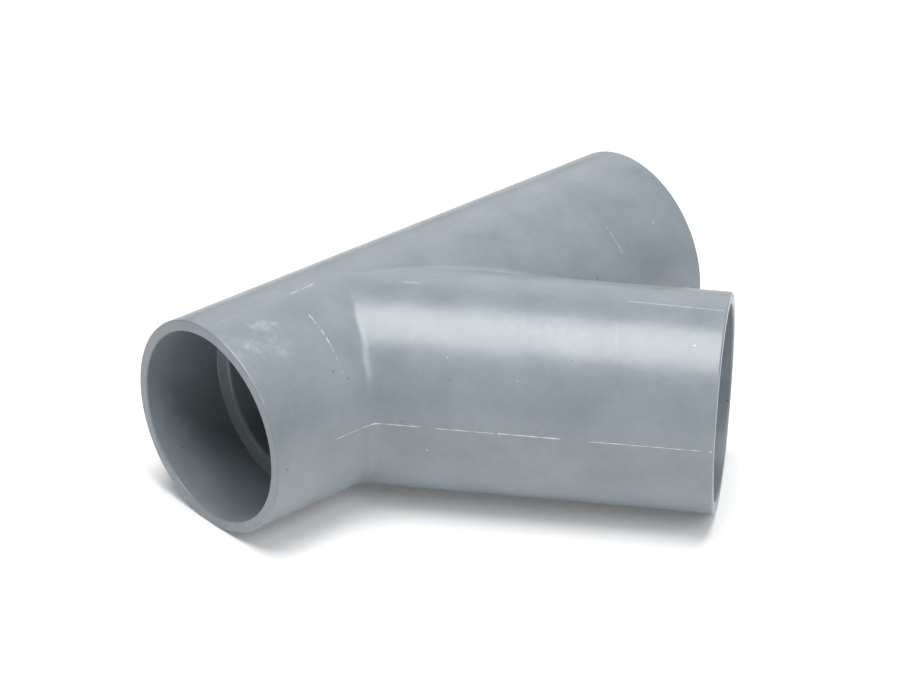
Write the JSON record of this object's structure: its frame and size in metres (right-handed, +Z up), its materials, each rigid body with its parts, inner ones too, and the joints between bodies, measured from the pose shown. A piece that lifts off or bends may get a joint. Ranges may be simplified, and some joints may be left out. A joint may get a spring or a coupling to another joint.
{
  "type": "lateral wye fitting",
  "caption": "Equal wye for solvent-welded drain pipe: a straight run and a branch slanting off at 50 degrees, each leg ending in a plain socket with a pipe stop.",
  "frame": {"origin": "where the centre lines of the run and the branch cross", "axes": "+X along the run, from the outlet to the run inlet; the branch leans 50 degrees from +X towards -Y; +Z up, square to the plane of the centre lines"},
  "size_m": [0.2547, 0.2139, 0.0994],
  "materials": {
    "rigid_pvc": "satin, as moulded, with a fine parting line"
  },
  "bodies": {
    "root": {"wye_body": "rigid_pvc"}
  },
  "joints": []
}
